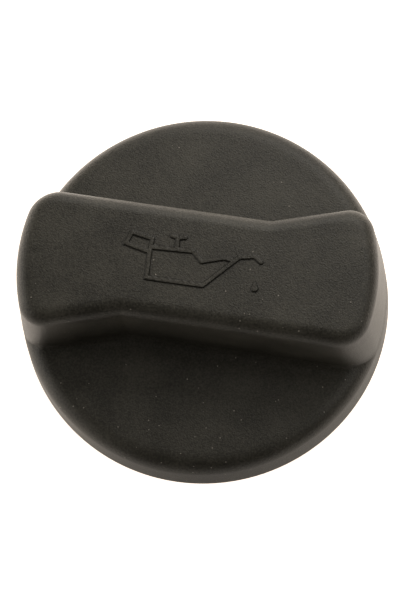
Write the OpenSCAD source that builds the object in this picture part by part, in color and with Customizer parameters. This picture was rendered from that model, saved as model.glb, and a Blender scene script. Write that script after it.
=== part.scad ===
// Quarter-turn oil filler cap: a moulded cover with a kinked grip bar across its whole width,
// a bayonet insert snapped into it from below, and a sealing ring round the insert's neck.
// Millimetres, +Z up. The origin is on the axis at the neck's lower edge, where the cap stands.

/* [Cover] */
// Outer diameter at the skirt's lower edge
cap_d = 70; // [62:1:84]
// Height of the round face above the skirt's lower edge
face_h = 9.8; // [8.6:0.1:13]
// Draft of the skirt, in degrees
skirt_draft = 5.4; // [1:0.1:8]
// Radius of the edge between the face and the skirt
face_edge_r = 3.3; // [1:0.1:4]
// Radius of the skirt's lower outer edge
hem_r = 0.6; // [0.2:0.1:1]
// Thickness of the skirt and of the face
cover_wall = 2.4; // [1.8:0.1:3]
// Depth to which the snap bead under the flange catches it
bead_catch = 0.35; // [0.1:0.05:0.6]

/* [Grip] */
// Height of the grip's flat top above the skirt's lower edge
grip_h = 26.5; // [20:0.5:34]
// Width of the grip at its ends
grip_end_w = 26; // [20:0.5:32]
// Distance from the axis at which the end width is measured
grip_end_x = 28; // [24:0.5:30]
// Width of the grip across its two kinks, square to its length
kink_w = 19.4; // [15:0.2:24]
// Distance of each kink from the axis, along the grip
kink_x = 12.6; // [0:0.2:16]
// Radius in the bottom of each kink
kink_r = 1.5; // [0.5:0.1:4]
// Radius of the edge round the grip's top
grip_edge_r = 3.2; // [1:0.1:4.5]
// Radius of the grip's two upright corners at the ends of its long faces
grip_corner_r = 6; // [3:0.1:7]
// Radius of the two corners at the ends of its short faces
grip_short_corner_r = 4.4; // [3:0.1:7]
// Draft of the grip's long sides, in degrees
grip_draft = 0.6; // [0.2:0.1:3]
// Draft of the grip's end walls above the face, in degrees
grip_end_draft = 7.3; // [4:0.1:9]
// Radius of the fillet between the grip's sides and the face
grip_foot_r = 1; // [0.4:0.1:2]
// Step between the skirt's outer surface and the grip's end walls
grip_end_step = 0.1; // [0.1:0.05:1]
// Thickness of the grip's walls round its hollow core
grip_wall = 2.4; // [1.8:0.1:3]
// Thickness of the ribs across the core
core_rib_t = 1.4; // [1:0.1:2]
// Distance of the two core ribs from the axis
core_rib_x = 10; // [6:0.5:12]

/* [Insert] */
// Outer diameter of the neck that goes into the engine's filler hole
neck_d = 39; // [34:0.5:42]
// Thickness of the neck's wall
neck_wall = 2.2; // [1.6:0.1:3]
// Length of neck below the skirt's lower edge
neck_drop = 12; // [9:0.5:18]
// Width of the small bevels on the neck's lower edge
neck_bevel = 0.5; // [0.2:0.1:0.8]
// Thickness of the flange that closes the cover
flange_t = 2.4; // [1.6:0.1:3]
// Free space between the flange's edge and the cover, on the radius
flange_gap = 0.3; // [0.15:0.05:0.4]
// Free space between the flange and the snap bead
bead_gap = 0.1; // [0.05:0.05:0.2]
// Thickness of the cross ribs inside the neck
neck_rib_t = 1.6; // [1:0.1:2.4]
// Depth of the cross ribs below the flange
neck_rib_h = 7; // [3:0.5:10]
// Height of the collar that holds the sealing ring outwards
collar_h = 1.3; // [0.8:0.1:2]
// Thickness of that collar
collar_t = 1.2; // [0.8:0.1:2]
// Number of stiffening ribs under the flange
flange_ribs = 18; // [9:3:30]
// Thickness of those ribs
flange_rib_t = 1.1; // [0.8:0.1:1.6]
// Height of those ribs
flange_rib_h = 1; // [0.6:0.1:1.2]
// Thickness of the two tongues that turn the insert with the grip
tongue_t = 2.2; // [1.4:0.1:3]
// Height of those tongues above the flange
tongue_h = 7; // [4:0.5:12]
// Distance of the tongues from the axis
tongue_x = 20; // [15:0.5:23]
// Free space between the tongues and the walls of the core
tongue_gap = 0.3; // [0.2:0.05:0.6]

/* [Bayonet] */
// Number of lugs
lug_count = 3; // [2:1:4]
// Reach of a lug beyond the neck
lug_reach = 3.4; // [2:0.1:5]
// Angle that a lug takes round the neck
lug_angle = 44; // [30:1:60]
// Thickness of a lug at its thick end
lug_t = 3.8; // [2.6:0.1:5]
// Height by which a lug's upper face climbs along its ramp
lug_climb = 1.3; // [0.4:0.1:1.8]
// Share of the lug's angle that the ramp takes
ramp_share = 0.7; // [0.3:0.05:0.9]
// Distance from the neck's lower edge up to the lugs
lug_lift = 1; // [0.6:0.1:3]
// Bevel along a lug's outer edges
lug_bevel = 0.5; // [0.2:0.1:0.8]
// Angle of the stop at a lug's thick end
stop_angle = 6; // [4:0.5:12]
// Height of the stop above the lug
stop_h = 2.2; // [1:0.1:4]

/* [Seal] */
// Width of the sealing ring, from its hole to its rim
seal_w = 5.2; // [3.6:0.1:6]
// Thickness of the ring
seal_t = 3; // [2.2:0.1:3.6]
// Radius of the ring's edges
seal_edge_r = 0.7; // [0.2:0.1:1]
// Height of the two lips on the ring's lower face
lip_h = 0.4; // [0.2:0.05:0.6]
// Free space round the ring, inside and outside
seal_gap = 0.1; // [0.05:0.05:0.3]

/* [Hidden] */
$fn = 128;
cover_colour = "#3c3a36";
insert_colour = "#2b2b2a";
seal_colour = "#1c1b1a";
eps = 0.01;
sink = 1;              // how far one shape runs into the one that carries it
core_bevel = 0.5;      // least bevel round the core's ceiling
core_corner_r = 0.5;   // least radius of the core's upright corners
top_corner_r = 0.3;    // least radius of the grip's corners, up at its top
stop_back = 1;         // angle by which a stop stands back from the lug's end
arc_steps = 8;         // steps along a quarter of a rounded edge
corner_steps = 10;     // steps round an upright corner of the grip
kink_steps = 6;        // steps round the bottom of a kink
end_steps = 12;        // steps along half of an end wall
lug_steps = 14;        // steps along a lug

cap_r = cap_d / 2;
hem_z = neck_drop;                       // skirt's lower edge
face_z = hem_z + face_h;                 // round face
under_z = face_z - cover_wall;           // underside of the face, where the flange seats
flange_z = under_z - flange_t;           // underside of the flange, where the sealing ring seats
grip_z = hem_z + grip_h;                 // flat top of the grip
slope = tan(skirt_draft);
function skirt_r(z) = cap_r - (z - hem_z) * slope;
function skirt_in(z) = skirt_r(z) - cover_wall / cos(skirt_draft);
flange_r = skirt_in(under_z) - flange_gap;
neck_r = neck_d / 2;
neck_in = neck_r - neck_wall;
seal_in = neck_r + seal_gap;
seal_out = seal_in + seal_w;
collar_in = seal_out + seal_gap;
collar_out = collar_in + collar_t;

// Points of an arc from angle a to angle b, both ends included
function arc(centre, r, a, b, n) =
    [for (i = [0:n]) centre + r * [cos(a + (b - a) * i / n), sin(a + (b - a) * i / n)]];

// One side of the grip: a long face, a kink, and a short face, each given by its direction
kink = [kink_x, kink_w / 2];
long_dir = (kink - [-grip_end_x, grip_end_w / 2]) / norm(kink - [-grip_end_x, grip_end_w / 2]);
short_dir = ([grip_end_x, grip_end_w / 2] - kink) / norm([grip_end_x, grip_end_w / 2] - kink);
function left_of(d) = [-d[1], d[0]];
long_n = left_of(long_dir);
short_n = left_of(short_dir);
long_a = atan2(long_n[1], long_n[0]);
short_a = atan2(short_n[1], short_n[0]);

// Where both faces, moved outwards by o, keep the distance r from a point
function meeting(o, r) =
    let (p = long_n * kink + o + r, q = short_n * kink + o + r,
         det = long_n[0] * short_n[1] - long_n[1] * short_n[0])
    [(p * short_n[1] - q * long_n[1]) / det, (q * long_n[0] - p * short_n[0]) / det];

// Centre of an upright corner of radius r between a face moved by o and the end wall of radius e
function corner(n, d, side, o, r, e) =
    let (h = n * kink + o - r)
    n * h + d * side * sqrt((e - r) * (e - r) - h * h);
function angle_of(p) = atan2(p[1], p[0]);

// Half of the grip's outline, from the middle of the left end wall to the middle of the right one;
// r is the radius of the corner on the long face, and the other one keeps its share of it
function half_outline(o, e, r, k) =
    let (c1 = corner(long_n, long_dir, -1, o, r, e), a1 = angle_of(c1),
         rs = r * grip_short_corner_r / grip_corner_r,
         c2 = corner(short_n, short_dir, 1, o, rs, e), a2 = angle_of(c2),
         ck = meeting(o, k))
    concat(
        [for (i = [0:end_steps - 1]) let (a = 180 + (a1 - 180) * i / end_steps) e * [cos(a), sin(a)]],
        arc(c1, r, a1, long_a, corner_steps),
        arc(ck, k, long_a + 180, short_a + 180, kink_steps),
        arc(c2, rs, short_a, a2, corner_steps),
        [for (i = [1:end_steps - 1]) let (a = a2 * (1 - i / end_steps)) e * [cos(a), sin(a)]]);

// The whole outline: the second half is the first one turned half round the axis
function outline(o, e, r, k) =
    let (half = half_outline(o, e, r, k)) concat(half, -half);

// A solid through a row of closed loops of points, each turned against the way the row runs
module loft(loops) {
    n = len(loops[0]);
    last = len(loops) - 1;
    polyhedron(
        points = [for (l = loops) for (p = l) p],
        faces = concat(
            [[for (i = [n - 1:-1:0]) i]],
            [for (j = [0:last - 1], i = [0:n - 1])
                let (m = (i + 1) % n) [j * n + i, j * n + m, (j + 1) * n + m, (j + 1) * n + i]],
            [[for (i = [0:n - 1]) last * n + i]]),
        convexity = 6);
}

// A solid through outlines; each ring is [height, offset, end radius, corner radius, kink radius]
module outline_loft(rings) {
    loft([for (s = rings) [for (p = outline(s[1], s[2], s[3], s[4])) [p[0], p[1], s[0]]]]);
}

// Sides lean in by the grip's draft, above its foot
function side_lean(z) = -max(0, z - face_z - grip_foot_r) * tan(grip_draft);
function end_r(z) = skirt_r(z) - grip_end_step - max(0, z - face_z) * (tan(grip_end_draft) - slope);

// Foot fillet, upright walls and the rounded edge round the top
module grip_body() {
    start = face_z - face_edge_r - sink;
    shoulder = grip_z - grip_edge_r;
    outline_loft(concat(
        [[start, grip_foot_r, end_r(start), grip_corner_r, kink_r]],
        [for (i = [0:arc_steps]) let (a = 90 * i / arc_steps, z = face_z + grip_foot_r * (1 - cos(a)))
            [z, grip_foot_r * (1 - sin(a)), end_r(z), grip_corner_r, kink_r]],
        [for (i = [0:arc_steps])
            let (a = 90 * i / arc_steps, inset = grip_edge_r * (1 - cos(a)))
            [shoulder + grip_edge_r * sin(a), side_lean(shoulder) - inset, end_r(shoulder) - inset,
             max(top_corner_r, grip_corner_r - inset), kink_r + inset]]));
}

// The hollow of the grip, open downwards; gap makes it smaller all round, for what fits into it
module grip_core(gap = 0) {
    wall = grip_wall + gap;
    low = under_z - sink;
    high = grip_z - grip_wall - gap;
    bevel = max(core_bevel, grip_edge_r - grip_wall);
    rc = max(core_corner_r, grip_corner_r - grip_wall);
    intersection() {
        outline_loft([for (s = [[low, 0], [high - bevel, 0], [high + sink, bevel + sink]])
            [s[0], side_lean(s[0]) - wall - s[1], end_r(s[0]) - wall - s[1], rc, kink_r + wall + s[1]]]);
        translate([-cap_r, -cap_r, low - sink]) cube([cap_d, cap_d, high - low + sink]);
    }
}

// Webs that stand across the core and stop just above the flange
module core_ribs() {
    for (s = [-1, 1])
        translate([s * core_rib_x - core_rib_t / 2, -cap_r, under_z + tongue_gap])
            cube([core_rib_t, cap_d, grip_h]);
}

// Outside of the round shell: face, rounded edge, drafted skirt
module outside_section() {
    edge_z = face_z - face_edge_r * (1 - sin(skirt_draft));
    edge_x = skirt_r(edge_z) - face_edge_r * cos(skirt_draft);
    hem_x = skirt_r(hem_z + hem_r) - hem_r;
    polygon(concat(
        [[0, hem_z], [0, face_z]],
        arc([edge_x, face_z - face_edge_r], face_edge_r, 90, skirt_draft, 12),
        arc([hem_x, hem_z + hem_r], hem_r, 0, -90, 4)));
}

// Its hollow, up to the seat of the flange, narrowed by the bead that the flange snaps past
module hollow_section() {
    bead_x = flange_r - bead_catch;
    bead_z = flange_z - bead_gap;
    bead_run = skirt_in(bead_z) - bead_x;
    polygon([
        [0, hem_z - sink], [skirt_in(hem_z - sink), hem_z - sink],
        [skirt_in(bead_z - 2 * bead_run), bead_z - 2 * bead_run],
        [bead_x, bead_z - bead_run / 2], [bead_x, bead_z], [skirt_in(bead_z), bead_z],
        [skirt_in(under_z), under_z], [0, under_z]]);
}

module cap_cover() {
    color(cover_colour)
        difference() {
            union() {
                rotate_extrude() outside_section();
                grip_body();
            }
            rotate_extrude() hollow_section();
            difference() {
                grip_core();
                core_ribs();
            }
        }
}

// Neck, closing flange and the collar beside the sealing ring, as one turned section
module insert_section() {
    b = neck_bevel;
    polygon([
        [0, flange_z], [neck_in, flange_z], [neck_in, b], [neck_in + b, 0], [neck_r - b, 0], [neck_r, b],
        [neck_r, flange_z], [collar_in, flange_z], [collar_in, flange_z - collar_h],
        [collar_out, flange_z - collar_h], [collar_out, flange_z],
        [flange_r, flange_z], [flange_r, under_z], [0, under_z]]);
}

// Section of a lug at share s of its length: the ramp climbs along a smooth curve, then runs level
function climb(s) = let (u = min(1, s / ramp_share)) lug_climb * u * u * (3 - 2 * u);
function lug_section(s) =
    let (top = lug_lift + lug_t - lug_climb + climb(s), out = neck_r + lug_reach, b = lug_bevel)
    [[neck_r - sink, lug_lift], [out - b, lug_lift], [out, lug_lift + b], [out, top - b],
     [out - b, top], [neck_r - sink, top]];

module lug() {
    loft([for (i = [0:lug_steps]) let (a = lug_angle * i / lug_steps)
        [for (p = lug_section(i / lug_steps)) [p[0] * cos(a), p[0] * sin(a), p[1]]]]);
    rotate(lug_angle - stop_angle - stop_back)
        rotate_extrude(angle = stop_angle)
            translate([neck_r - sink, lug_lift + lug_bevel])
                square([lug_reach + sink - lug_bevel, lug_t - lug_bevel + stop_h]);
}

// Cross inside the neck, and short ribs from the collar to the flange's edge
module insert_ribs() {
    intersection() {
        translate([0, 0, flange_z - neck_rib_h]) cylinder(r = neck_r - neck_wall / 2, h = neck_rib_h + eps);
        union() for (a = [0, 90])
            rotate(a) translate([-neck_r, -neck_rib_t / 2, 0]) cube([neck_d, neck_rib_t, flange_z + eps]);
    }
    for (i = [0:flange_ribs - 1])
        rotate(i * 360 / flange_ribs)
            translate([collar_out - collar_t / 2, -flange_rib_t / 2, flange_z - flange_rib_h])
                cube([flange_r - bead_catch - flange_gap - collar_out + collar_t / 2, flange_rib_t,
                      flange_rib_h + eps]);
}

// Two blades that stand up into the grip's core and fill its width
module tongues() {
    intersection() {
        grip_core(tongue_gap);
        for (s = [-1, 1])
            translate([s * tongue_x - tongue_t / 2, -cap_r, under_z - sink / 2])
                cube([tongue_t, cap_d, tongue_h + sink / 2]);
    }
}

module bayonet_insert() {
    color(insert_colour)
        union() {
            rotate_extrude() insert_section();
            for (i = [0:lug_count - 1]) rotate(i * 360 / lug_count) lug();
            insert_ribs();
            tongues();
        }
}

// Flat rubber ring with rounded edges and two low lips on the face that meets the filler neck
module seal_section() {
    low = flange_z - seal_t + lip_h;
    r = seal_edge_r;
    lip = seal_w / 3;
    polygon(concat(
        arc([seal_in + r, low + r], r, 180, 270, 5),
        arc([seal_in + lip, low], lip_h, 180, 360, 8),
        arc([seal_out - lip, low], lip_h, 180, 360, 8),
        arc([seal_out - r, low + r], r, 270, 360, 5),
        arc([seal_out - r, flange_z - r], r, 0, 90, 5),
        arc([seal_in + r, flange_z - r], r, 90, 180, 5)));
}

module sealing_ring() {
    color(seal_colour) rotate_extrude() seal_section();
}

cap_cover();
bayonet_insert();
sealing_ring();
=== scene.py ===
import bpy
import numpy as np
from mathutils import Matrix


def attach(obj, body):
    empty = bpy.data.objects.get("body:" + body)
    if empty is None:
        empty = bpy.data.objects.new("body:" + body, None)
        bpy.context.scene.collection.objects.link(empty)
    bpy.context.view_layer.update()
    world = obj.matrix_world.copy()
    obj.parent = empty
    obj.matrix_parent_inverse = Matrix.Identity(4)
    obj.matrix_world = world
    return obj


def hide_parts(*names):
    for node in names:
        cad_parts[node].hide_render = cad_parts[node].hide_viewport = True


# Quarter-turn oil filler cap: a moulded cover with a kinked grip, a bayonet insert and a sealing ring.
# Lengths are in millimetres here and become metres when a mesh is made. Angles are in degrees.

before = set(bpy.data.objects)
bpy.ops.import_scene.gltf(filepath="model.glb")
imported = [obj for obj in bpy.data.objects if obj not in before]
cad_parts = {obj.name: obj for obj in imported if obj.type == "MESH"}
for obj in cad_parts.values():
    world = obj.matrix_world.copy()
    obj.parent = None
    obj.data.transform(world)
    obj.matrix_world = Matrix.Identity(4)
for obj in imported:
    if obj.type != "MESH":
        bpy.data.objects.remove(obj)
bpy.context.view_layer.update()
mm = 0.001
print("frame loaded:", sorted(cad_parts))

# camera: seen steeply from above, a little from the front right, with the picture turned

cameraView = {
    "azimuth": 18.57,
    "elevation": 74.74,
    "roll": -14.17,
    "distance": 303.9,
    "target": (0.181, -2.735, 24.0),
    "focalPixels": 1650.5,
    "longSidePixels": 601,
    "sensor": 36.0,
    "clip": (10.0, 20000.0),
}


def directionOf(azimuth, elevation):
    # Unit vector from the object to something round it; azimuth 0 is the front and 90 the right
    a, e = np.radians([azimuth, elevation])
    return np.array([np.sin(a) * np.cos(e), -np.cos(a) * np.cos(e), np.sin(e)])


def axesMatrix(right, above, back, place):
    # An object's three axes and its place, as the columns of its matrix
    return Matrix([[right[i], above[i], back[i], place[i]] for i in range(3)] + [[0, 0, 0, 1]])


def makeCamera(v):
    a, r = np.radians([v["azimuth"], v["roll"]])
    back = directionOf(v["azimuth"], v["elevation"])
    side = np.array([np.cos(a), np.sin(a), 0.0])
    up = np.cross(back, side)
    right = np.cos(r) * side + np.sin(r) * up
    above = np.cos(r) * up - np.sin(r) * side
    data = bpy.data.cameras.new("camera")
    data.sensor_width = v["sensor"]
    data.lens = v["sensor"] * v["focalPixels"] / v["longSidePixels"]
    data.clip_start = v["clip"][0] * mm
    data.clip_end = v["clip"][1] * mm
    camera = bpy.data.objects.new("camera", data)
    bpy.context.scene.collection.objects.link(camera)
    place = (np.array(v["target"]) + back * v["distance"]) * mm
    camera.matrix_world = axesMatrix(right, above, back, place)
    bpy.context.scene.camera = camera


makeCamera(cameraView)
print("camera placed")

# mesh helpers: a part is its points and a list of arrays of faces

creaseDegrees = 38


def ringQuads(index):
    # index[j, i] is point i of closed ring j; rings run anticlockwise seen from outside, and ring 0 is
    # the innermost
    a, b = index[:-1], index[1:]
    return np.stack([a, b, np.roll(b, -1, 1), np.roll(a, -1, 1)], -1).reshape(-1, 4)


def gridQuads(index):
    # index[j, i] is a sheet of points, i along x and j along y, seen from outside
    return np.stack([index[:-1, :-1], index[:-1, 1:], index[1:, 1:], index[1:, :-1]], -1).reshape(-1, 4)


def joinParts(parts):
    # Each part's faces are counted on from the points of the parts before it
    points, faces, start = [], [], 0
    for partPoints, partFaces in parts:
        for array in partFaces:
            faces += (array + start).tolist()
        points.append(partPoints)
        start += len(partPoints)
    return np.concatenate(points), faces


def makePiece(name, points, faces):
    mesh = bpy.data.meshes.new(name)
    mesh.from_pydata((points * mm).tolist(), [], faces)
    mesh.shade_smooth()
    mesh.set_sharp_from_angle(angle=np.radians(creaseDegrees))
    mesh.validate()
    piece = bpy.data.objects.new(name, mesh)
    bpy.context.scene.collection.objects.link(piece)
    return piece


def smoothStep(t):
    t = np.clip(t, 0.0, 1.0)
    return t * t * (3.0 - 2.0 * t)


def angleOf(v):
    return np.degrees(np.arctan2(v[1], v[0]))


def arcPoints(cx, cy, r, a, b, steps):
    t = np.radians(np.linspace(a, b, steps + 1))
    return np.stack([cx + r * np.cos(t), cy + r * np.sin(t)], 1)


# cover: sizes of the moulding, as in the solid but for a softer foot, a slightly tighter top edge and end
# walls that stand closer to the skirt

cover = {
    "radius": 35.0,
    "hemZ": 12.0,
    "faceZ": 21.8,
    "draft": 5.4,
    "faceEdgeR": 3.3,
    "hemR": 0.6,
    "hemBevel": 0.3,
    "wall": 2.4,
    "flangeT": 2.4,
    "flangeGap": 0.3,
    "beadGap": 0.1,
    "beadCatch": 0.35,
    "gripZ": 38.5,
    "endW": 26.0,
    "endX": 28.0,
    "kinkW": 19.4,
    "kinkX": 12.6,
    "kinkR": 1.5,
    "edgeR": 2.85,
    "cornerR": 6.0,
    "shortCornerR": 4.4,
    "gripDraft": 0.6,
    "endDraft": 7.3,
    "endStep": 0.03,
    "coreBevel": 1.0,
}

# The fillet at the grip's foot is full on the long sides and nearly sharp on the end walls. Between the
# two it grows with the distance from the face's edge, and past the end walls' radius it takes at most a
# share of that distance.

footFillet = {
    "radius": 2.0,
    "endRadius": 0.12,
    "fadeFrom": 0.5,
    "fadeOver": 6.0,
    "mostStretch": 2.0,
    "mostShare": 0.6,
}

# How finely each stretch of the cover is cut. The top's steps are shares of the way from the sheet with
# the symbol to the rounded edge, and the face's steps crowd together towards its own edge.

coverSteps = {
    "outlineEnd": 40,
    "outlineCorner": 30,
    "outlineKink": 18,
    "top": (0.12, 0.3, 0.55, 0.8),
    "edge": 14,
    "wallFrom": 0.15,
    "wall": 6,
    "foot": 8,
    "face": 24,
    "faceCrowding": 1.9,
    "skirt": 4,
    "hem": 6,
    "ceiling": 0.35,
    "footRounds": 6,
}

slope = np.tan(np.radians(cover["draft"]))
underZ = cover["faceZ"] - cover["wall"]
flangeZ = underZ - cover["flangeT"]
shoulderZ = cover["gripZ"] - cover["edgeR"]
coreTopZ = cover["gripZ"] - cover["wall"]


def skirtR(z):
    return cover["radius"] - (z - cover["hemZ"]) * slope


def skirtIn(z):
    return skirtR(z) - cover["wall"] / np.cos(np.radians(cover["draft"]))


def endWallR(z):
    # The grip's end walls follow the skirt up to the face and lean in more above it
    more = np.tan(np.radians(cover["endDraft"])) - slope
    return skirtR(z) - cover["endStep"] - np.maximum(0, z - cover["faceZ"]) * more


def sideLean(z):
    # How far the grip's long sides have moved at a height: they lean in above the foot
    return -max(0.0, z - cover["faceZ"] - footFillet["radius"]) * np.tan(np.radians(cover["gripDraft"]))


edgeCentreZ = cover["faceZ"] - cover["faceEdgeR"]
tangentZ = edgeCentreZ + cover["faceEdgeR"] * np.sin(np.radians(cover["draft"]))
edgeCentreX = skirtR(tangentZ) - cover["faceEdgeR"] * np.cos(np.radians(cover["draft"]))


def faceHeight(r):
    # Height of the face at a distance from the axis: flat, then down the quarter circle of its edge
    over = np.clip(r - edgeCentreX, 0, cover["faceEdgeR"])
    return edgeCentreZ + np.sqrt(cover["faceEdgeR"] ** 2 - over ** 2)


# The grip's outline: a long face and a short face meet in a kink, upright corners lead to end walls
# round the axis, and the other half is the same turned half round. All of it can be moved by an offset.


def gripOutline(offset, endR, cornerR, kinkR):
    # Points of the outline, anticlockwise; endR is the radius of the end walls
    c, steps = cover, coverSteps
    kink = np.array([c["kinkX"], c["kinkW"] / 2])
    longDir = kink - np.array([-c["endX"], c["endW"] / 2])
    shortDir = np.array([c["endX"], c["endW"] / 2]) - kink
    longDir /= np.linalg.norm(longDir)
    shortDir /= np.linalg.norm(shortDir)
    longN = np.array([-longDir[1], longDir[0]])
    shortN = np.array([-shortDir[1], shortDir[0]])
    longA, shortA = angleOf(longN), angleOf(shortN)

    def corner(normal, along, side, r):
        # Centre of the corner circle that touches a moved face from inside and the end wall's circle
        h = normal @ kink + offset - r
        return normal * h + along * side * np.sqrt((endR - r) ** 2 - h * h)

    shortR = cornerR * c["shortCornerR"] / c["cornerR"]
    longEnd = corner(longN, longDir, -1, cornerR)
    shortEnd = corner(shortN, shortDir, 1, shortR)
    moved = np.array([longN @ kink, shortN @ kink]) + offset + kinkR
    inKink = np.linalg.solve(np.array([longN, shortN]), moved)
    longEndA, shortEndA = angleOf(longEnd), angleOf(shortEnd)
    half = np.concatenate([
        arcPoints(0, 0, endR, 180, longEndA, steps["outlineEnd"])[:-1],
        arcPoints(*longEnd, cornerR, longEndA, longA, steps["outlineCorner"]),
        arcPoints(*inKink, kinkR, longA + 180, shortA + 180, steps["outlineKink"]),
        arcPoints(*shortEnd, shortR, shortA, shortEndA, steps["outlineCorner"]),
        arcPoints(0, 0, endR, shortEndA, 0, steps["outlineEnd"])[1:-1],
    ])
    return np.concatenate([half, -half])[::-1]


def reach(angles, outline):
    # Distance from the axis to the outline along each direction, which crosses one straight step of it
    at = np.unwrap(np.arctan2(outline[:, 1], outline[:, 0]))
    t = (angles - at[0]) % (2 * np.pi) + at[0]
    i = np.clip(np.searchsorted(at, t, side="right") - 1, 0, len(outline) - 1)
    p = outline[i]
    d = outline[(i + 1) % len(outline)] - p
    return (p[:, 0] * d[:, 1] - p[:, 1] * d[:, 0]) / (np.cos(angles) * d[:, 1] - np.sin(angles) * d[:, 0])


def gripReach(angles, z, inset, cornerR):
    # Distance from the axis to the grip's side at a height, moved in by an inset
    outline = gripOutline(sideLean(z) - inset, endWallR(z) - inset, cornerR, cover["kinkR"] + inset)
    return reach(angles, outline)


# symbol: an oil can in raised ribbons on the grip's top, given by their middle lines

symbol = {
    "ribbonW": 0.74,
    "height": 0.27,
    "flank": 0.18,
    # width of the painted shade along the ribbons' feet
    "paintedShadeWidth": 0.13,
    "dropCentre": (10.7, -3.68),
    "dropR": 0.64,
    "dropTip": 1.3,
    "dropTaper": 0.7,
    "patchX": (-14.4, 12.9),
    "patchY": (-4.9, 5.95),
    "cell": 0.104,
    "ribbons": {
        "post": [(-8.0, 4.2), (-8.3, 1.7), (-8.42, -3.0)],
        "handle": [(-8.1, 4.22), (-11.8, 5.15), (-12.55, 3.2)],
        "handleFoot": [(-12.85, 3.12), (-8.45, 1.76)],
        "lid": [(-8.2, 2.63), (-0.55, 2.3), (1.1, 0.56), (5.0, 1.45), (6.45, 1.12)],
        "base": [(-8.55, -3.0), (1.55, -3.8), (7.6, 1.74), (10.25, 2.09), (11.5, 1.12)],
        "knobBar": [(-4.6, 4.98), (-3.5, 4.62), (-2.2, 4.78)],
        "knobStem": [(-3.5, 4.62), (-3.5, 2.45)],
    },
}


def ribbonDistance(x, y):
    # Distance to the nearest of the ribbons' middle lines
    near = np.full(x.shape, np.inf)
    for line in symbol["ribbons"].values():
        for p, q in zip(line[:-1], line[1:]):
            d = np.array(q) - np.array(p)
            t = np.clip(((x - p[0]) * d[0] + (y - p[1]) * d[1]) / (d @ d), 0, 1)
            near = np.minimum(near, np.hypot(x - p[0] - t * d[0], y - p[1] - t * d[1]))
    return near


def dropDistance(x, y):
    # Distance outside the drop: a circle below its centre, and sides that draw in to a tip above it
    s = symbol
    u, v = x - s["dropCentre"][0], y - s["dropCentre"][1]
    halfWidth = s["dropR"] * np.clip(1 - v / s["dropTip"], 0, 1) ** s["dropTaper"]
    outside = np.where(v > 0, np.abs(u) - halfWidth, np.hypot(u, v) - s["dropR"])
    return np.where(v < s["dropTip"], outside, np.inf)


def symbolShape(x, y):
    # Height above the top face: a plateau within half a ribbon's width of a middle line, with steep flanks.
    # Painted shade: a bell curve across the line where the flanks meet the top face, darkening the ribbons'
    # feet where shade falls.
    s = symbol
    outside = np.minimum(ribbonDistance(x, y) - s["ribbonW"] / 2, dropDistance(x, y))
    rise = smoothStep((s["flank"] / 2 - outside) / s["flank"])
    return s["height"] * rise, np.exp(-((outside - s["flank"] / 3) / s["paintedShadeWidth"]) ** 2)


# The cover is one closed shell: a fine sheet on the grip's top, then rings at fixed directions from the
# axis that run out over the edge, down the wall, through the foot fillet, over the face, down the skirt,
# round the hem, up inside past the snap bead and up the hollow core to its ceiling.


def symbolSheet():
    # Points on a grid, their index, the border as one closed ring, and the painted shade at each point
    s = symbol
    nx, ny = [round((b - a) / s["cell"]) for a, b in (s["patchX"], s["patchY"])]
    xs, ys = np.meshgrid(np.linspace(*s["patchX"], nx + 1), np.linspace(*s["patchY"], ny + 1))
    height, paintedShade = symbolShape(xs, ys)
    points = np.stack([xs, ys, cover["gripZ"] + height], -1).reshape(-1, 3)
    index = np.arange(len(points)).reshape(ny + 1, nx + 1)
    border = np.concatenate([index[0, :-1], index[:-1, -1], index[-1, :0:-1], index[:0:-1, 0]])
    return points, index, border, paintedShade.ravel()


def ringAt(angles, radius, z):
    # One point in each direction; the radius and the height are one value or one for each direction
    r, z = np.broadcast_to(radius, angles.shape), np.broadcast_to(z, angles.shape)
    return np.stack([r * np.cos(angles), r * np.sin(angles), z], 1)


def radiusOf(ring):
    return np.hypot(ring[:, 0], ring[:, 1])


def topRings(angles, start):
    # Over the flat top, then down the rounded edge: an inset of its radius times one minus the cosine,
    # at a height of its radius times the sine
    c, steps = cover, coverSteps

    def edgeReach(inset):
        return gripReach(angles, shoulderZ, inset, c["cornerR"] - inset)

    flat = edgeReach(c["edgeR"])
    rings = [ringAt(angles, start + (flat - start) * t, c["gripZ"]) for t in steps["top"]]
    for a in np.radians(np.linspace(90, 0, steps["edge"] + 1)):
        inset = c["edgeR"] * (1 - np.cos(a))
        rings.append(ringAt(angles, edgeReach(inset), shoulderZ + c["edgeR"] * np.sin(a)))
    return rings


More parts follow.
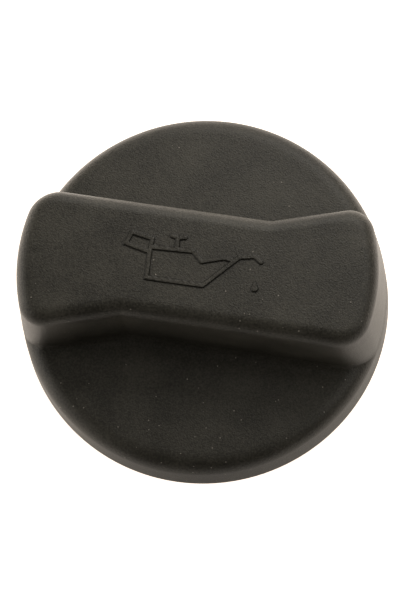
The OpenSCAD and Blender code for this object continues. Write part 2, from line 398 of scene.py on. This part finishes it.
def wallRings(angles, high):
    # The wall is straight from the shoulder to the face's level and on to the skirt's tangent line. It ends
    # above the face by the fillet's radius, and the fillet is a quarter circle measured square to the wall.
    c, f, steps = cover, footFillet, coverSteps
    lowZ = c["faceZ"] - c["faceEdgeR"]
    low, middle = [gripReach(angles, z, 0.0, c["cornerR"]) for z in (lowZ, c["faceZ"])]

    def wallReach(z):
        upper = middle + (high - middle) * (z - c["faceZ"]) / (shoulderZ - c["faceZ"])
        lower = low + (middle - low) * (z - lowZ) / (c["faceZ"] - lowZ)
        return np.where(z > c["faceZ"], upper, lower)

    # where the wall meets the face, found in a few rounds
    footZ = np.full(len(angles), c["faceZ"])
    for _ in range(steps["footRounds"]):
        footZ = faceHeight(wallReach(footZ))
    foot = wallReach(footZ)
    # a direction from the axis meets the wall at a slant, which stretches the fillet along it
    around = np.roll(foot, -1) - np.roll(foot, 1)
    turn = (np.roll(angles, -1) - np.roll(angles, 1)) % (2 * np.pi)
    stretch = np.minimum(np.sqrt(1 + (around / turn / foot) ** 2), f["mostStretch"])
    fromEdge = skirtR(footZ) - c["endStep"] - foot
    full = smoothStep((fromEdge - f["fadeFrom"]) / f["fadeOver"])
    fillet = f["endRadius"] + (f["radius"] - f["endRadius"]) * full
    wide = np.minimum(fillet * stretch, f["endRadius"] + f["mostShare"] * np.maximum(fromEdge, 0))
    rings = []
    for t in np.linspace(steps["wallFrom"], 1, steps["wall"]):
        z = shoulderZ + (footZ + fillet - shoulderZ) * t
        rings.append(ringAt(angles, wallReach(z), z))
    for a in np.radians(np.linspace(0, 90, steps["foot"] + 1)[1:]):
        r = foot + wide * (1 - np.cos(a))
        rings.append(ringAt(angles, r, faceHeight(r) + fillet * (1 - np.sin(a))))
    return rings


def faceRings(angles, start):
    # Over the face and round its edge to the skirt's tangent line, by length along the section
    r = cover["faceEdgeR"]
    onEdge = edgeCentreX + r * np.arcsin(np.clip((start - edgeCentreX) / r, 0, 1))
    first = np.where(start > edgeCentreX, onEdge, start)
    last = edgeCentreX + r * np.radians(90 - cover["draft"])
    rings = []
    for t in np.linspace(0, 1, coverSteps["face"] + 1)[1:]:
        along = first + (last - first) * (1 - (1 - t) ** coverSteps["faceCrowding"])
        a = np.maximum(along - edgeCentreX, 0) / r
        out = np.minimum(along, edgeCentreX) + r * np.sin(a)
        rings.append(ringAt(angles, out, edgeCentreZ + r * np.cos(a)))
    return rings


def skirtRings(angles):
    # Down the skirt, round the hem, and up inside past the snap bead to the flange's seat
    c, steps = cover, coverSteps
    hemTop = c["hemZ"] + c["hemR"]
    section = [(skirtR(z), z) for z in np.linspace(tangentZ, hemTop, steps["skirt"] + 1)[1:-1]]
    section += arcPoints(skirtR(hemTop) - c["hemR"], hemTop, c["hemR"], 0, -90, steps["hem"]).tolist()
    beadX = skirtIn(underZ) - c["flangeGap"] - c["beadCatch"]
    beadZ = flangeZ - c["beadGap"]
    run = skirtIn(beadZ) - beadX
    section += [(skirtIn(c["hemZ"]) + c["hemBevel"], c["hemZ"])]
    section += [(skirtIn(z), z) for z in (c["hemZ"] + c["hemBevel"], beadZ - 2 * run)]
    section += [(beadX, beadZ - run / 2), (beadX, beadZ)]
    section += [(skirtIn(z), z) for z in (beadZ, underZ)]
    return [ringAt(angles, x, z) for x, z in section]


def coreRings(angles):
    # Up the hollow core, which follows the grip's outside one wall further in, and in over its ceiling
    c = cover
    rings = []
    for z, bevel in ((underZ, 0.0), (coreTopZ - c["coreBevel"], 0.0), (coreTopZ, c["coreBevel"])):
        rings.append(ringAt(angles, gripReach(angles, z, c["wall"] + bevel, c["cornerR"] - c["wall"]), z))
    rings.append(rings[-1] * [coverSteps["ceiling"], coverSteps["ceiling"], 1.0])
    return rings


def makeCover():
    sheet, sheetIndex, border, paintedShade = symbolSheet()
    angles = np.arctan2(sheet[border, 1], sheet[border, 0])
    rings = topRings(angles, radiusOf(sheet[border]))
    rings += wallRings(angles, radiusOf(rings[-1]))
    rings += faceRings(angles, radiusOf(rings[-1]))
    rings += skirtRings(angles) + coreRings(angles)
    points = np.concatenate([sheet] + rings + [np.array([[0, 0, coreTopZ]])])
    n = len(border)
    ringIndex = len(sheet) + np.arange(len(rings) * n).reshape(len(rings), n)
    quads = [gridQuads(sheetIndex), ringQuads(np.concatenate([border[None], ringIndex]))]
    last = ringIndex[-1]
    ceiling = np.stack([last, np.full(n, len(points) - 1), np.roll(last, -1)], 1)
    piece = makePiece("capCover", *joinParts([(points, quads + [ceiling])]))
    # the painted shade along the ribbons' feet is kept on the points as an attribute for the finish
    mask = np.zeros(len(points), np.float32)
    mask[:len(sheet)] = paintedShade
    piece.data.attributes.new("ribbonFootPaintedShade", "FLOAT", "POINT").data.foreach_set("value", mask)
    return piece


capCover = makeCover()
print("cover made:", len(capCover.data.polygons), "faces")

# turned and swept parts

turnSteps = 256


def turnedSurface(profile):
    # A closed section of points (radius, height), anticlockwise, carried once round the axis
    t = np.linspace(0, 2 * np.pi, turnSteps, endpoint=False)
    r, z = profile[:, None, 0], np.broadcast_to(profile[:, None, 1], (len(profile), turnSteps))
    points = np.stack([r * np.cos(t), r * np.sin(t), z], -1).reshape(-1, 3)
    index = np.arange(len(points)).reshape(len(profile), turnSteps)
    return points, [ringQuads(np.concatenate([index, index[:1]])[::-1])]


def roundCorners(corners, steps=4):
    # Each corner is (x, z, radius); a radius above 0 becomes an arc between its two tangent points
    out = []
    for i, (x, z, r) in enumerate(corners):
        p = np.array([x, z], float)
        if r <= 0:
            out.append([p])
            continue
        a = np.array(corners[i - 1][:2], float) - p
        b = np.array(corners[(i + 1) % len(corners)][:2], float) - p
        a /= np.linalg.norm(a)
        b /= np.linalg.norm(b)
        half = np.arccos(np.clip(a @ b, -1, 1)) / 2
        centre = p + (a + b) / np.linalg.norm(a + b) * r / np.sin(half)
        first, last = [angleOf(p + d * r / np.tan(half) - centre) for d in (a, b)]
        sweep = (last - first + 180) % 360 - 180
        out.append(arcPoints(*centre, r, first, first + sweep, steps))
    return np.concatenate(out)


def softBox(size, centre, turn, r, steps=3):
    # A box with rounded edges: a sphere's grid pushed out to the box's eight corners, turned round the axis
    lat = np.radians(np.linspace(-90, 90, 4 * steps + 2))
    lon = np.radians(np.linspace(0, 360, 8 * steps + 4, endpoint=False) + 360 / (16 * steps + 8))
    la, lo = np.meshgrid(lat[1:-1], lon, indexing="ij")
    d = np.stack([np.cos(la) * np.cos(lo), np.cos(la) * np.sin(lo), np.sin(la)], -1)
    half = np.array(size) / 2
    grid = d * r + np.sign(d) * (half - r)
    x, y, z = (np.concatenate([grid.reshape(-1, 3), [[0, 0, -half[2]], [0, 0, half[2]]]]) + centre).T
    a = np.radians(turn)
    points = np.stack([x * np.cos(a) - y * np.sin(a), x * np.sin(a) + y * np.cos(a), z], 1)
    index = np.arange(grid.shape[0] * grid.shape[1]).reshape(grid.shape[:2])
    bottom, top = index[0], index[-1]
    low = np.stack([np.roll(bottom, -1), bottom, np.full(len(bottom), index.size)], 1)
    high = np.stack([top, np.roll(top, -1), np.full(len(top), index.size + 1)], 1)
    return points, [ringQuads(index[::-1]), low, high]


# insert: neck, flange, collar, lugs with ramps and stops, ribs and tongues. The sinks are how far its
# parts run into each other, and each part has the radius of its own edges.

insert = {
    "neckR": 19.5,
    "neckWall": 2.2,
    "neckEdgeR": 0.6,
    "neckFootR": 0.08,
    "boreFootR": 0.5,
    "axisGap": 0.02,
    "flangeEdgeR": 0.3,
    "ringIn": 19.6,
    "ringOut": 24.8,
    "collarGap": 0.1,
    "collarH": 1.3,
    "collarT": 1.2,
    "collarEdgeR": 0.25,
    "collarInFootR": 0.05,
    "collarOutFootR": 0.2,
    "ribCount": 18,
    "ribT": 1.1,
    "ribH": 1.0,
    "ribEdgeR": 0.2,
    "crossT": 1.6,
    "crossH": 7.0,
    "crossEdgeR": 0.3,
    "lugCount": 3,
    "lugReach": 3.4,
    "lugAngle": 44.0,
    "lugT": 3.8,
    "lugClimb": 1.3,
    "rampShare": 0.7,
    "lugLift": 1.0,
    "lugEdgeR": 0.5,
    "lugCornerShare": 0.13,
    "lugEndShare": 0.03,
    "lugEndLoss": 0.12,
    "lugSteps": 39,
    "lugSink": 1.0,
    "stopAngle": 6.0,
    "stopBack": 1.0,
    "stopH": 2.2,
    "stopOut": 1.5,
    "stopEdgeR": 0.35,
    "tongueT": 2.2,
    "tongueH": 7.0,
    "tongueX": 20.0,
    "tongueW": 14.0,
    "tongueEdgeR": 0.3,
    "sink": 0.3,
}


def lugSurface(turn):
    # A rounded section carried round the neck. Its upper side climbs a smooth ramp, and near both ends the
    # section shrinks a little along a quarter circle.
    s = insert
    inner, low, corner = s["neckR"] - s["lugSink"], s["lugLift"], s["lugCornerShare"]
    v = np.linspace(0, 1, s["lugSteps"] + 1)[:, None]
    toEnd = 1 - np.minimum(np.minimum(v, 1 - v) / s["lugEndShare"], 1)
    size = 1 - s["lugEndLoss"] * (1 - np.sqrt(1 - toEnd ** 2))
    tall = s["lugT"] - s["lugClimb"] + s["lugClimb"] * smoothStep(v / s["rampShare"])
    shape = roundCorners([(0, 0, 0), (1, 0, corner), (1, 1, corner), (0, 1, 0)], 5)
    radius = inner + shape[:, 0] * (s["lugReach"] + s["lugSink"]) * size
    z = low + tall / 2 + (shape[:, 1] - 0.5) * tall * size
    a = np.radians(turn + s["lugAngle"] * v)
    points = np.stack([radius * np.cos(a), radius * np.sin(a), z], -1)
    index = np.arange(z.size).reshape(z.shape)
    return points.reshape(-1, 3), [ringQuads(index), index[[0]], index[[-1], ::-1]]


def lugStop(turn):
    s = insert
    wide = 2 * (s["neckR"] + s["stopOut"]) * np.sin(np.radians(s["stopAngle"] / 2))
    tall = s["lugT"] + s["stopH"] - s["lugEdgeR"]
    deep = s["lugReach"] + s["lugSink"] - s["lugEdgeR"]
    centre = (s["neckR"] - s["lugSink"] + deep / 2, 0, s["lugLift"] + s["lugEdgeR"] + tall / 2)
    middle = turn + s["lugAngle"] - s["stopAngle"] / 2 - s["stopBack"]
    return softBox((deep, wide, tall), centre, middle, s["stopEdgeR"])


def makeInsert():
    s = insert
    bore = s["neckR"] - s["neckWall"]
    rim = skirtIn(underZ) - cover["flangeGap"]
    collarIn = s["ringOut"] + s["collarGap"]
    collarOut = collarIn + s["collarT"]
    collarZ = flangeZ - s["collarH"]
    section = roundCorners([
        (s["axisGap"], flangeZ, 0), (bore, flangeZ, s["boreFootR"]),
        (bore, 0, s["neckEdgeR"]), (s["neckR"], 0, s["neckEdgeR"]), (s["neckR"], flangeZ, s["neckFootR"]),
        (collarIn, flangeZ, s["collarInFootR"]), (collarIn, collarZ, s["collarEdgeR"]),
        (collarOut, collarZ, s["collarEdgeR"]), (collarOut, flangeZ, s["collarOutFootR"]),
        (rim, flangeZ, s["flangeEdgeR"]), (rim, underZ, s["flangeEdgeR"]), (s["axisGap"], underZ, 0),
    ])
    parts = [turnedSurface(section)]
    for i in range(s["lugCount"]):
        turn = i * 360 / s["lugCount"]
        parts += [lugSurface(turn), lugStop(turn)]
    for turn in (0, 90):
        size = (2 * s["neckR"] - s["neckWall"], s["crossT"], s["crossH"] + 2 * s["sink"])
        parts.append(softBox(size, (0, 0, flangeZ - s["crossH"] / 2 + s["sink"]), turn, s["crossEdgeR"]))
    ribIn = collarOut - s["collarT"] / 2
    ribOut = rim - cover["beadCatch"] - cover["flangeGap"]
    for i in range(s["ribCount"]):
        size = (ribOut - ribIn, s["ribT"], s["ribH"] + 2 * s["sink"])
        centre = ((ribIn + ribOut) / 2, 0, flangeZ - s["ribH"] / 2 + s["sink"])
        parts.append(softBox(size, centre, i * 360 / s["ribCount"], s["ribEdgeR"], 2))
    for side in (-1, 1):
        size = (s["tongueT"], s["tongueW"], s["tongueH"] + 2 * s["sink"])
        centre = (side * s["tongueX"], 0, underZ + s["tongueH"] / 2 - s["sink"])
        parts.append(softBox(size, centre, 0, s["tongueEdgeR"], 2))
    return makePiece("bayonetInsert", *joinParts(parts))


bayonetInsert = makeInsert()
print("insert made:", len(bayonetInsert.data.polygons), "faces")

# sealing ring with two lips on its lower face, each a third of its width from an edge

seal = {"thick": 3.0, "edgeR": 0.7, "lipR": 0.4, "edgeSteps": 6, "lipSteps": 10}


def makeSeal():
    s = seal
    inR, outR = insert["ringIn"], insert["ringOut"]
    low = flangeZ - s["thick"] + s["lipR"]
    r, third = s["edgeR"], (outR - inR) / 3
    section = np.concatenate([
        arcPoints(inR + r, low + r, r, 180, 270, s["edgeSteps"]),
        arcPoints(inR + third, low, s["lipR"], 180, 360, s["lipSteps"]),
        arcPoints(outR - third, low, s["lipR"], 180, 360, s["lipSteps"]),
        arcPoints(outR - r, low + r, r, 270, 360, s["edgeSteps"]),
        arcPoints(outR - r, flangeZ - r, r, 0, 90, s["edgeSteps"]),
        arcPoints(inR + r, flangeZ - r, r, 90, 180, s["edgeSteps"]),
    ])
    return makePiece("sealingRing", *joinParts([turnedSurface(section)]))


sealingRing = makeSeal()
print("sealing ring made")

# shared shader groups: moulded grain, mottled colour, dust

sharedLook = {
    "coarseScale": 0.22,
    "dustPatches": 60.0,
    "dustToFront": 5.5,
    "dustToBottom": 6.0,
}


def newGroup(name, inputs, output):
    group = bpy.data.node_groups.new(name, "ShaderNodeTree")
    for label in inputs:
        group.interface.new_socket(label, in_out="INPUT", socket_type="NodeSocketFloat")
    group.interface.new_socket(output, in_out="OUTPUT", socket_type="NodeSocketFloat")
    return group, group.nodes.new("NodeGroupInput").outputs, group.nodes.new("NodeGroupOutput").inputs


def mathNode(tree, operation, *values):
    node = tree.nodes.new("ShaderNodeMath")
    node.operation = operation
    for socket, value in zip(node.inputs, values):
        if isinstance(value, (int, float)):
            socket.default_value = value
        else:
            tree.links.new(value, socket)
    return node.outputs[0]


def noiseNode(tree, scale, detail, roughness=0.5):
    coords = tree.nodes.new("ShaderNodeTexCoord")
    node = tree.nodes.new("ShaderNodeTexNoise")
    node.inputs["Detail"].default_value = detail
    node.inputs["Roughness"].default_value = roughness
    tree.links.new(coords.outputs["Object"], node.inputs["Vector"])
    if isinstance(scale, (int, float)):
        node.inputs["Scale"].default_value = scale
    else:
        tree.links.new(scale, node.inputs["Scale"])
    return node.outputs["Fac"]


def grainGroup():
    # Height of an eroded mould surface: fine pits over a coarser unevenness
    group, given, out = newGroup("mouldGrain", ["Pits per metre", "Coarse share"], "Height")
    fine = noiseNode(group, given["Pits per metre"], detail=2.0, roughness=0.6)
    coarseScale = mathNode(group, "MULTIPLY", given["Pits per metre"], sharedLook["coarseScale"])
    coarse = noiseNode(group, coarseScale, detail=1.0)
    share = mathNode(group, "MULTIPLY", coarse, given["Coarse share"])
    group.links.new(mathNode(group, "ADD", fine, share), out["Height"])
    return group


def mottleGroup():
    # Slow and quick changes of shade over the moulding, from 0 to 1
    group, given, out = newGroup("mouldMottle", ["Cloud scale", "Grain scale", "Grain share"], "Mask")
    cloud = noiseNode(group, given["Cloud scale"], detail=3.0)
    grain = noiseNode(group, given["Grain scale"], detail=1.0)
    mix = group.nodes.new("ShaderNodeMix")
    mix.data_type = "FLOAT"
    group.links.new(given["Grain share"], mix.inputs["Factor"])
    group.links.new(cloud, mix.inputs[2])
    group.links.new(grain, mix.inputs[3])
    group.links.new(mix.outputs[0], out["Mask"])
    return group


def dustGroup():
    # Sparse specks near the middles of scattered cells, where a slow noise lets dust lie, and more of them
    # to the front and low down
    group, given, out = newGroup("dustSpecks", ["Cells per metre", "Size", "Spread"], "Mask")
    coords = group.nodes.new("ShaderNodeTexCoord")
    cells = group.nodes.new("ShaderNodeTexVoronoi")
    group.links.new(coords.outputs["Object"], cells.inputs["Vector"])
    group.links.new(given["Cells per metre"], cells.inputs["Scale"])
    speck = mathNode(group, "LESS_THAN", cells.outputs["Distance"], given["Size"])
    apart = group.nodes.new("ShaderNodeSeparateXYZ")
    group.links.new(coords.outputs["Object"], apart.inputs[0])
    patch = noiseNode(group, sharedLook["dustPatches"], detail=1.0)
    patch = mathNode(group, "MULTIPLY_ADD", apart.outputs["Y"], -sharedLook["dustToFront"], patch)
    patch = mathNode(group, "MULTIPLY_ADD", apart.outputs["Z"], -sharedLook["dustToBottom"], patch)
    lies = mathNode(group, "GREATER_THAN", patch, given["Spread"])
    group.links.new(mathNode(group, "MULTIPLY", speck, lies), out["Mask"])
    return group


grain, mottle, dust = grainGroup(), mottleGroup(), dustGroup()

# finishes: scales are per metre, depth is in metres

finishes = {
    "coverPlastic": {
        "dark": (0.0240, 0.0225, 0.0175), "light": (0.066, 0.062, 0.050), "dust": (0.34, 0.31, 0.27),
        "clouds": 120.0, "mottleShare": 0.55, "roughness": 0.42,
        "pits": 3400.0, "coarse": 0.28, "bump": 1.0, "depth": 0.00008,
        "cells": 640.0, "speck": 0.07, "spread": 0.35,
        # near-black painted shade along the feet of the symbol's ribbons, and how much of it is laid on
        "paintedShade": (0.004, 0.0035, 0.002), "paintedShadeShare": 0.78,
    },
    "insertPlastic": {
        "dark": (0.016, 0.016, 0.0155), "light": (0.026, 0.026, 0.025), "dust": (0.12, 0.11, 0.10),
        "clouds": 60.0, "mottleShare": 0.5, "roughness": 0.38,
        "pits": 1800.0, "coarse": 0.8, "bump": 0.15, "depth": 0.00003,
        "cells": 320.0, "speck": 0.04, "spread": 0.6,
    },
    "sealRubber": {
        "dark": (0.010, 0.0098, 0.0094), "light": (0.018, 0.0175, 0.017), "dust": (0.10, 0.095, 0.09),
        "clouds": 60.0, "mottleShare": 0.5, "roughness": 0.62,
        "pits": 2600.0, "coarse": 0.6, "bump": 0.25, "depth": 0.00004,
        "cells": 400.0, "speck": 0.05, "spread": 0.5,
    },
}

# The shade runs from dark to light over the ramp, and the roughness over its spread. The quick changes of
# shade are a little wider than the pits.

finishRange = {"ramp": (0.36, 0.64), "smoother": 0.05, "rougher": 0.08, "shadeScale": 0.8}


def useGroup(tree, group, values):
    node = tree.nodes.new("ShaderNodeGroup")
    node.node_tree = group
    for label, value in values.items():
        node.inputs[label].default_value = value
    return node.outputs[0]


def blendColour(tree, mask, base, colour):
    # The base where the mask is 0, and the plain colour where it is 1
    mix = tree.nodes.new("ShaderNodeMix")
    mix.data_type = "RGBA"
    tree.links.new(mask, mix.inputs["Factor"])
    tree.links.new(base, mix.inputs[6])
    mix.inputs[7].default_value = (*colour, 1)
    return mix.outputs[2]


def makeFinish(name):
    f, span = finishes[name], finishRange
    material = bpy.data.materials.new(name)
    material.use_nodes = True
    tree = material.node_tree
    shader = tree.nodes["Principled BSDF"]
    shade = useGroup(tree, mottle, {
        "Cloud scale": f["clouds"],
        "Grain scale": f["pits"] * span["shadeScale"],
        "Grain share": f["mottleShare"],
    })
    ramp = tree.nodes.new("ShaderNodeValToRGB")
    for stop, place, colour in zip(ramp.color_ramp.elements, span["ramp"], (f["dark"], f["light"])):
        stop.position = place
        stop.color = (*colour, 1)
    tree.links.new(shade, ramp.inputs["Fac"])
    specks = useGroup(tree, dust, {
        "Cells per metre": f["cells"],
        "Size": f["speck"],
        "Spread": f["spread"],
    })
    colour = blendColour(tree, specks, ramp.outputs["Color"], f["dust"])
    # painted shade: the colour darkens towards near-black along the line where the ribbons' flanks meet the
    # top face
    if "paintedShade" in f:
        lines = tree.nodes.new("ShaderNodeAttribute")
        lines.attribute_name = "ribbonFootPaintedShade"
        share = mathNode(tree, "MULTIPLY", lines.outputs["Fac"], f["paintedShadeShare"])
        colour = blendColour(tree, share, colour, f["paintedShade"])
    tree.links.new(colour, shader.inputs["Base Color"])
    spread = tree.nodes.new("ShaderNodeMapRange")
    spread.inputs["To Min"].default_value = f["roughness"] - span["smoother"]
    spread.inputs["To Max"].default_value = f["roughness"] + span["rougher"]
    tree.links.new(shade, spread.inputs["Value"])
    tree.links.new(spread.outputs["Result"], shader.inputs["Roughness"])
    height = useGroup(tree, grain, {"Pits per metre": f["pits"], "Coarse share": f["coarse"]})
    bump = tree.nodes.new("ShaderNodeBump")
    bump.inputs["Strength"].default_value = f["bump"]
    bump.inputs["Distance"].default_value = f["depth"]
    tree.links.new(height, bump.inputs["Height"])
    tree.links.new(bump.outputs["Normal"], shader.inputs["Normal"])
    return material


def dress(piece, node, material):
    piece.data.materials.append(material)
    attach(piece, "root")
    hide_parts(node)


dress(capCover, "cap_cover", makeFinish("coverPlastic"))
dress(bayonetInsert, "bayonet_insert", makeFinish("insertPlastic"))
dress(sealingRing, "sealing_ring", makeFinish("sealRubber"))
print("finishes made")

# studio: a pale floor and pale surroundings, each brightest in a few broad, soft lobes, and three square
# lights near the object

studio = {
    "floorSize": 3000.0,
    "floorColour": (0.93, 0.93, 0.93),
    "floorRoughness": 0.9,
    "floorLobes": {
        "behindLeft": {"azimuth": 225, "elevation": 0, "tightness": 4, "strength": 1.93},
        "behindRight": {"azimuth": 135, "elevation": 0, "tightness": 4, "strength": 1.62},
        "left": {"azimuth": 270, "elevation": 0, "tightness": 4, "strength": 0.98},
        "frontLeft": {"azimuth": 315, "elevation": 0, "tightness": 4, "strength": 0.43},
        "right": {"azimuth": 90, "elevation": 0, "tightness": 4, "strength": 0.42},
        "behind": {"azimuth": 180, "elevation": 0, "tightness": 4, "strength": 0.29},
        "frontRight": {"azimuth": 45, "elevation": 0, "tightness": 4, "strength": 0.30},
    },
    "floorTint": (1.0, 0.875, 0.76),
    "tint": (1.0, 0.95, 0.87),
    "backdrop": 1.3,
    "lobes": {
        "highRight": {"azimuth": 90, "elevation": 50, "tightness": 30, "strength": 2.27},
        "left": {"azimuth": 270, "elevation": 10, "tightness": 8, "strength": 2.12},
        "behind": {"azimuth": 180, "elevation": 10, "tightness": 8, "strength": 0.97},
        "lowBehind": {"azimuth": 200, "elevation": 25, "tightness": 30, "strength": 0.47},
    },
    "softboxes": {
        "behind": {"azimuth": 180, "elevation": 45, "distance": 250, "size": 150, "watts": 0.136},
        "behindRight": {"azimuth": 150, "elevation": 40, "distance": 220, "size": 120, "watts": 0.084},
        "above": {"azimuth": 135, "elevation": 70, "distance": 220, "size": 60, "watts": 0.0245},
    },
}


def lobeSum(tree, direction, lobes):
    # For each lobe its strength times a power of the cosine to its middle, all added up
    total = 0.0
    for lobe in lobes.values():
        dot = tree.nodes.new("ShaderNodeVectorMath")
        dot.operation = "DOT_PRODUCT"
        tree.links.new(direction, dot.inputs[0])
        dot.inputs[1].default_value = directionOf(lobe["azimuth"], lobe["elevation"])
        facing = mathNode(tree, "MAXIMUM", dot.outputs["Value"], 0.0)
        glow = mathNode(tree, "POWER", facing, lobe["tightness"])
        glow = mathNode(tree, "MULTIPLY", glow, lobe["strength"])
        total = mathNode(tree, "ADD", glow, total)
    return total


def plainToCamera(tree, glow, plain):
    # The camera itself sees one plain brightness, and everything else sees the glow
    path = tree.nodes.new("ShaderNodeLightPath")
    more = mathNode(tree, "SUBTRACT", plain, glow)
    return mathNode(tree, "MULTIPLY_ADD", path.outputs["Is Camera Ray"], more, glow)


def makeFloor():
    half = studio["floorSize"] / 2
    points = np.array([(-half, -half, 0), (half, -half, 0), (half, half, 0), (-half, half, 0)])
    floor = makePiece("floor", points, [(0, 1, 2, 3)])
    material = bpy.data.materials.new("floorPaper")
    material.use_nodes = True
    tree = material.node_tree
    shader = tree.nodes["Principled BSDF"]
    shader.inputs["Base Color"].default_value = (*studio["floorColour"], 1)
    shader.inputs["Roughness"].default_value = studio["floorRoughness"]
    shader.inputs["Emission Color"].default_value = (*studio["floorTint"], 1)
    coords = tree.nodes.new("ShaderNodeTexCoord")
    outward = tree.nodes.new("ShaderNodeVectorMath")
    outward.operation = "NORMALIZE"
    tree.links.new(coords.outputs["Object"], outward.inputs[0])
    glow = lobeSum(tree, outward.outputs["Vector"], studio["floorLobes"])
    tree.links.new(plainToCamera(tree, glow, studio["backdrop"]), shader.inputs["Emission Strength"])
    floor.data.materials.append(material)


def makeSurroundings():
    world = bpy.data.worlds.new("surroundings")
    world.use_nodes = True
    tree = world.node_tree
    coords = tree.nodes.new("ShaderNodeTexCoord")
    glow = lobeSum(tree, coords.outputs["Generated"], studio["lobes"])
    background = tree.nodes["Background"]
    tree.links.new(plainToCamera(tree, glow, studio["backdrop"]), background.inputs["Strength"])
    background.inputs["Color"].default_value = (*studio["tint"], 1)
    bpy.context.scene.world = world


def makeSoftboxes():
    # Square lights turned to the grip's top: they give the slow change of brightness from left to right
    for name, b in studio["softboxes"].items():
        data = bpy.data.lights.new(name, "AREA")
        data.size = b["size"] * mm
        data.energy = b["watts"]
        data.color = studio["tint"]
        toward = directionOf(b["azimuth"], b["elevation"])
        side = np.cross([0, 0, 1], toward)
        side /= np.linalg.norm(side)
        place = (toward * b["distance"] + np.array([0, 0, cover["gripZ"]])) * mm
        box = bpy.data.objects.new(name, data)
        box.matrix_world = axesMatrix(side, np.cross(toward, side), toward, place)
        box.visible_camera = False
        bpy.context.scene.collection.objects.link(box)


makeFloor()
makeSurroundings()
makeSoftboxes()
bpy.context.scene.view_settings.view_transform = "Standard"
print("studio made")
